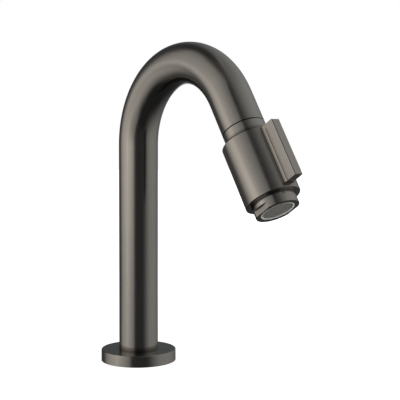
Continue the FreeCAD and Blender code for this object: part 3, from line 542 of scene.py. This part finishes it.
def make_spout_tube(material):
    """The drawn tube, inside and out, with its grain stored along the bend."""
    walls = spout_walls()
    turns = [math.tau * index / TUBE_SIDES for index in range(TUBE_SIDES)]
    points, grain, flow, faces = [], [], [], []
    for along, radius in walls:
        centre, outward, running = spout_station(along)
        for turn in turns:
            points.append(centre + (outward * math.cos(turn) + SIDE * math.sin(turn)) * radius)
            grain.append((radius * math.cos(turn), radius * math.sin(turn), along / DRAWN_STRETCH))
            flow.append(running)
    for row in range(len(walls)):
        faces += ring_faces(0, TUBE_SIDES, row, (row + 1) % len(walls))
    mesh = new_mesh("spout_tube_skin", points, faces)
    for name, values in (("grain", grain), ("flow", flow)):
        attribute = mesh.attributes.new(name, "FLOAT_VECTOR", "POINT")
        attribute.data.foreach_set("vector", [number for value in values for number in value])
    face_outwards(mesh)
    piece = new_piece("spout_tube_skin", mesh, material)
    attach(piece, "tap_body")
    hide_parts("spout_tube")


# The shank
def thread_height(phase):
    """Height of a vee thread over one pitch, from 0 at its root to 1 at its narrow crest."""
    return min(max((THREAD_HALF - abs(phase - 0.5)) / THREAD_FLANK, 0.0), 1.0)


def add_thread(points, faces, thread):
    """A helical thread whose height fades out over one pitch at both ends."""
    pitch = thread["pitch"]
    span = thread["high"] - thread["low"]
    root = thread["crest"] - thread["depth"]
    rows = math.ceil(span / pitch * THREAD_SAMPLES)
    start = len(points)
    for row in range(-THREAD_SAMPLES, rows + THREAD_SAMPLES + 1):
        height = thread["depth"] * thread_height(row % THREAD_SAMPLES / THREAD_SAMPLES)
        for column in range(THREAD_SIDES):
            turn = column / THREAD_SIDES
            along = min(max((row / THREAD_SAMPLES + turn) * pitch, 0.0), span)
            fade = min(along, span - along, pitch) / pitch
            radius = root + height * fade
            angle = math.tau * turn
            points.append((radius * math.cos(angle), radius * math.sin(angle), thread["low"] + along))
    for row in range(rows + THREAD_SAMPLES):
        for column in range(THREAD_SIDES):
            near = start + row * THREAD_SIDES + column
            one_pitch_on = start + (row + THREAD_SAMPLES) * THREAD_SIDES
            beside = near + 1 if column < THREAD_SIDES - 1 else one_pitch_on
            faces.append((near, beside, beside + THREAD_SIDES, near + THREAD_SIDES))


def add_turning(points, faces, corners):
    """Surface turned about the Z axis through corners given as radius and height."""
    start = len(points)
    for radius, height in corners:
        for column in range(THREAD_SIDES):
            angle = math.tau * column / THREAD_SIDES
            points.append((radius * math.cos(angle), radius * math.sin(angle), height))
    for row in range(len(corners) - 1):
        faces += ring_faces(start, THREAD_SIDES, row, row + 1)


def make_shank(material):
    """The shank with real screw threads."""
    fixing_root = FIXING_THREAD["crest"] - FIXING_THREAD["depth"]
    inlet_root = INLET_THREAD["crest"] - INLET_THREAD["depth"]
    groove_low, groove_high = SPIGOT_GROOVE
    spigot_and_bore = [
        (fixing_root, FIXING_THREAD["high"]),
        (fixing_root, 0.0),
        (SHOULDER_R, 0.0),
        (SHOULDER_R, SHOULDER_TOP),
        (SPIGOT_R, SHOULDER_TOP),
        (SPIGOT_R, groove_low),
        (SPIGOT_GROOVE_R, groove_low),
        (SPIGOT_GROOVE_R, groove_high),
        (SPIGOT_R, groove_high),
        (SPIGOT_R, SHANK_TOP),
        (WATERWAY_R, SHANK_TOP),
        (WATERWAY_R, INLET_THREAD["low"]),
        (inlet_root, INLET_THREAD["low"]),
    ]
    step_between_threads = [
        (inlet_root, INLET_THREAD["high"]),
        (inlet_root, FIXING_THREAD["low"]),
        (fixing_root, FIXING_THREAD["low"]),
    ]
    points, faces = [], []
    add_turning(points, faces, spigot_and_bore)
    add_thread(points, faces, INLET_THREAD)
    add_turning(points, faces, step_between_threads)
    add_thread(points, faces, FIXING_THREAD)
    mesh = new_mesh("screwed_shank", points, faces)
    face_outwards(mesh, weld=True)
    piece = new_piece("screwed_shank", mesh, material, sharp_angle=30.0)
    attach(piece, "tap_body")
    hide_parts("threaded_shank")


# The gauze
def add_wire(points, faces, middle, run, across, half, phase):
    """A wire that runs half its length each way from its middle, and waves over and under the others."""
    samples = max(int(2 * half / GAUZE_PITCH * WIRE_SAMPLES), 2 * WIRE_SAMPLES)
    start = len(points)
    for index in range(samples + 1):
        along = -half + 2 * half * index / samples
        wave = 0.5 * WIRE_R * math.cos(math.pi * along / GAUZE_PITCH + phase)
        for corner in range(WIRE_SIDES):
            turn = math.tau * corner / WIRE_SIDES
            height = wave + WIRE_R * math.sin(turn)
            points.append(middle + run * along + across * (WIRE_R * math.cos(turn)) + OUTLET * height)
    for index in range(samples):
        faces += ring_faces(start, WIRE_SIDES, index, index + 1)
    last = start + WIRE_SIDES * samples
    faces.append(tuple(start + corner for corner in range(WIRE_SIDES)))
    faces.append(tuple(last + corner for corner in reversed(range(WIRE_SIDES))))


def make_woven_mesh(material):
    """Fine woven gauze in the aerator: wires over and under each other, both ways across."""
    low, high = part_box("aerator_mesh")
    radius = high.y
    centre = SEAM + OUTLET * ((low + high) / 2 - SEAM).dot(OUTLET)
    count = int(radius / GAUZE_PITCH)
    points, faces = [], []
    for row in range(-count, count + 1):
        offset = row * GAUZE_PITCH
        half = math.sqrt(max((radius - WIRE_R) ** 2 - offset**2, 0.0))
        phase = math.pi * (row % 2)
        add_wire(points, faces, centre + OUTWARD * offset, SIDE, OUTWARD, half, phase)
        add_wire(points, faces, centre + SIDE * offset, OUTWARD, SIDE, half, phase + math.pi)
    mesh = new_mesh("woven_gauze", points, faces)
    face_outwards(mesh)
    piece = new_piece("woven_gauze", mesh, material)
    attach(piece, "handle")
    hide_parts("aerator_mesh")


# Studio
def beyond(tree, value, edge, softness):
    """Zero below an edge in degrees and one above it, over the softness."""
    low, high = math.radians(edge - softness / 2), math.radians(edge + softness / 2)
    return scaled_range(tree, value, low, high, 0.0, 1.0, smooth=True)


def short_of(tree, value, edge, softness):
    return maths(tree, "SUBTRACT", 1.0, beyond(tree, value, edge, softness))


def window(tree, heading, panel):
    """One where the heading meets the panel, falling smoothly to zero at its edges."""
    left, left_soft, right, right_soft = panel["azimuth"]
    low, low_soft, high, high_soft = panel["elevation"]
    middle = (left + right) / 2
    facing = add_node(tree, "ShaderNodeVectorRotate", {"rotation_type": "Z_AXIS"}, Vector=heading)
    facing.inputs["Angle"].default_value = -(CAMERA_AZIMUTH + math.radians(middle))
    parts = add_node(tree, "ShaderNodeSeparateXYZ", Vector=facing.outputs[0]).outputs
    azimuth = maths(tree, "ARCTAN2", parts["Y"], parts["X"])
    elevation = maths(tree, "ARCSINE", parts["Z"])
    below = maths(tree, "MULTIPLY", elevation, -1.0)
    above_reach = maths(tree, "ADD", elevation, math.radians(LEAN_REACH))
    depth = maths(tree, "MAXIMUM", maths(tree, "MINIMUM", below, above_reach), 0.0)
    height = maths(tree, "MAXIMUM", elevation, 0.0)
    left_shift = maths(tree, "MULTIPLY", depth, panel.get("lean", 0.0))
    right_shift = maths(tree, "MULTIPLY", height, panel.get("right_lean", 0.0))
    across = maths(
        tree,
        "MULTIPLY",
        beyond(tree, maths(tree, "SUBTRACT", azimuth, left_shift), left - middle, left_soft),
        short_of(tree, maths(tree, "SUBTRACT", azimuth, right_shift), right - middle, right_soft),
    )
    upright = maths(
        tree,
        "MULTIPLY",
        beyond(tree, elevation, low, low_soft),
        short_of(tree, elevation, high, high_soft),
    )
    return maths(tree, "MULTIPLY", across, upright)


def studio_light(tree, heading):
    """The room's own light, shaded by the floor below, and each soft box."""
    upward = maths(tree, "ARCSINE", add_node(tree, "ShaderNodeSeparateXYZ", Vector=heading).outputs["Z"])
    below, above = math.radians(FLOOR_SHADE["below"]), math.radians(FLOOR_SHADE["above"])
    shade = scaled_range(tree, upward, below, above, FLOOR_SHADE["light"], 1.0, smooth=True)
    total = scaled(tree, ROOM_LIGHT, shade)
    for panel in SOFT_BOXES.values():
        glow = scaled(tree, panel["light"], window(tree, heading, panel))
        total = vector_maths(tree, "ADD", glow, total)
    return total


def seen_directly(tree, path):
    """One for camera rays, and for rays that come through a clear piece."""
    return maths(tree, "MAXIMUM", path["Is Camera Ray"], path["Is Transmission Ray"])


def light_studio():
    """Soft boxes for the metal and the shade, and a white backdrop for what is seen directly."""
    world = bpy.data.worlds.new("studio")
    world.use_nodes = True
    tree = world.node_tree
    tree.nodes.clear()
    heading = tree.nodes.new("ShaderNodeTexCoord").outputs["Generated"]
    studio = add_node(tree, "ShaderNodeBackground", Color=studio_light(tree, heading), Strength=1.0)
    backdrop = add_node(tree, "ShaderNodeBackground", Color=WHITE, Strength=1.0)
    path = tree.nodes.new("ShaderNodeLightPath").outputs
    mirrored = maths(tree, "MULTIPLY", path["Is Glossy Ray"], window(tree, heading, BACKDROP))
    mixed = tree.nodes.new("ShaderNodeMixShader")
    plug(tree, mixed.inputs[0], maths(tree, "MAXIMUM", seen_directly(tree, path), mirrored))
    tree.links.new(studio.outputs[0], mixed.inputs[1])
    tree.links.new(backdrop.outputs[0], mixed.inputs[2])
    output = tree.nodes.new("ShaderNodeOutputWorld")
    tree.links.new(mixed.outputs[0], output.inputs["Surface"])
    bpy.context.scene.world = world


def floor_material():
    """White to the camera, with a soft shadow about the object's foot."""
    material, tree, output = new_material("pale_floor")
    distance = add_node(tree, "ShaderNodeVectorMath", {"operation": "LENGTH"})
    plug(tree, distance.inputs[0], object_position(tree))
    glow = scaled_range(
        tree, distance.outputs["Value"], SHADOW["near"], SHADOW["far"], SHADOW["light"], 1.0, smooth=True
    )
    path = tree.nodes.new("ShaderNodeLightPath").outputs
    bounced = maths(tree, "MULTIPLY", path["Is Diffuse Ray"], FLOOR_BOUNCE)
    seen = maths(tree, "MAXIMUM", seen_directly(tree, path), bounced)
    plain = add_node(tree, "ShaderNodeBsdfDiffuse", Color=FLOOR_COLOUR)
    light = add_node(tree, "ShaderNodeEmission", Color=WHITE, Strength=maths(tree, "MULTIPLY", glow, seen))
    both = tree.nodes.new("ShaderNodeAddShader")
    tree.links.new(plain.outputs[0], both.inputs[0])
    tree.links.new(light.outputs[0], both.inputs[1])
    tree.links.new(both.outputs[0], output.inputs["Surface"])
    return material


def lay_floor():
    """Plain pale floor, which the metal doesn't mirror."""
    turns = [math.tau * index / FLOOR_SIDES for index in range(FLOOR_SIDES)]
    rim = [(FLOOR_R * math.cos(turn), FLOOR_R * math.sin(turn), -FLOOR_DROP) for turn in turns]
    mesh = new_mesh("floor", rim, [tuple(range(FLOOR_SIDES))])
    mesh.materials.append(floor_material())
    floor = bpy.data.objects.new("floor", mesh)
    floor.visible_glossy = False
    floor.visible_shadow = False
    bpy.context.scene.collection.objects.link(floor)


def set_camera():
    camera = bpy.data.cameras.new("camera")
    camera.lens = LENS_MM
    camera.sensor_width = SENSOR_MM
    camera.clip_start = CLIP_NEAR
    camera.clip_end = CLIP_FAR
    holder = bpy.data.objects.new("camera", camera)
    turn = VIEW_ALONG.to_track_quat("-Z", "Y") @ Quaternion((0.0, 0.0, 1.0), VIEW_ROLL)
    holder.matrix_world = Matrix.Translation(VIEW_FROM) @ turn.to_matrix().to_4x4()
    bpy.context.scene.collection.objects.link(holder)
    bpy.context.scene.camera = holder


# Materials
along_outlet = across_drawn(OUTLET)
round_column = across_turned((0, 0, 1), (0, 0, 0))
round_outlet = across_turned(OUTLET, SEAM)
# The last argument picks the painted corner shade of each gunmetal material
gunmetal_tube = brushed_metal(
    "gunmetal_tube", GUNMETAL, GUNMETAL_ROUGHNESS, grain_of_tube, across_flow, "joined"
)
gunmetal_collar = brushed_metal(
    "gunmetal_collar", GUNMETAL, GUNMETAL_ROUGHNESS, drawn(True), along_outlet, "collar"
)
gunmetal_head = brushed_metal(
    "gunmetal_head", GUNMETAL, GUNMETAL_ROUGHNESS, drawn(True), along_outlet, "piece"
)
gunmetal_turned = brushed_metal(
    "gunmetal_turned", GUNMETAL, GUNMETAL_ROUGHNESS, turned(False), round_column, "joined"
)
brass_shank = brushed_metal("brass_shank", BRASS, PLAIN_ROUGHNESS, turned(False), round_column)
brass_head = brushed_metal("brass_head", BRASS, PLAIN_ROUGHNESS, turned(True), round_outlet)
steel_plain = brushed_metal("steel_plain", STEEL, PLAIN_ROUGHNESS, turned(False), round_column)
gauze_steel = brushed_metal("gauze_steel", GAUZE_STEEL, GAUZE_ROUGHNESS, drawn(True), along_outlet)
rubber = moulded("rubber", RUBBER, roughness=0.62, depth=0.01 * MM, scale=4000.0)
ceramic = moulded("ceramic", CERAMIC, roughness=0.16, depth=0.001 * MM, scale=6000.0, coat=0.5)
white_plastic = moulded("white_plastic", WHITE_PLASTIC, roughness=0.4, depth=0.003 * MM, scale=3000.0)
pale_plastic = moulded(
    "pale_plastic", PALE_PLASTIC, roughness=0.25, depth=0.003 * MM, scale=3000.0, coat=0.5
)

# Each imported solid's material. Those not named here are rubber seals and washers, or the spout tube and
# the mesh, for which finer pieces stand below.
FINISHES = {
    "base_flange": gunmetal_turned,
    "valve_body": gunmetal_collar,
    "handle_sleeve": gunmetal_head,
    "aerator_housing": gunmetal_head,
    "threaded_shank": brass_shank,
    "back_nut": brass_shank,
    "shank_bush": brass_shank,
    "outlet_bush": brass_head,
    "gland_nut": brass_head,
    "spindle": brass_head,
    "outlet_hub": brass_head,
    "deck_steel_washer": steel_plain,
    "sleeve_grub_screw": steel_plain,
    "fixed_disc": ceramic,
    "moving_disc": ceramic,
    "sleeve_bearing_ring": white_plastic,
    "thrust_washer": white_plastic,
    "aerator_insert": pale_plastic,
}
for node_name, cad_piece in frame["nodes"].items():
    cad_piece.material_slots[0].material = FINISHES.get(node_name, rubber)

make_spout_tube(gunmetal_tube)
make_woven_mesh(gauze_steel)
make_shank(brass_shank)

light_studio()
lay_floor()
set_camera()
bpy.context.scene.view_settings.view_transform = "Standard"

bpy.context.view_layer.update()
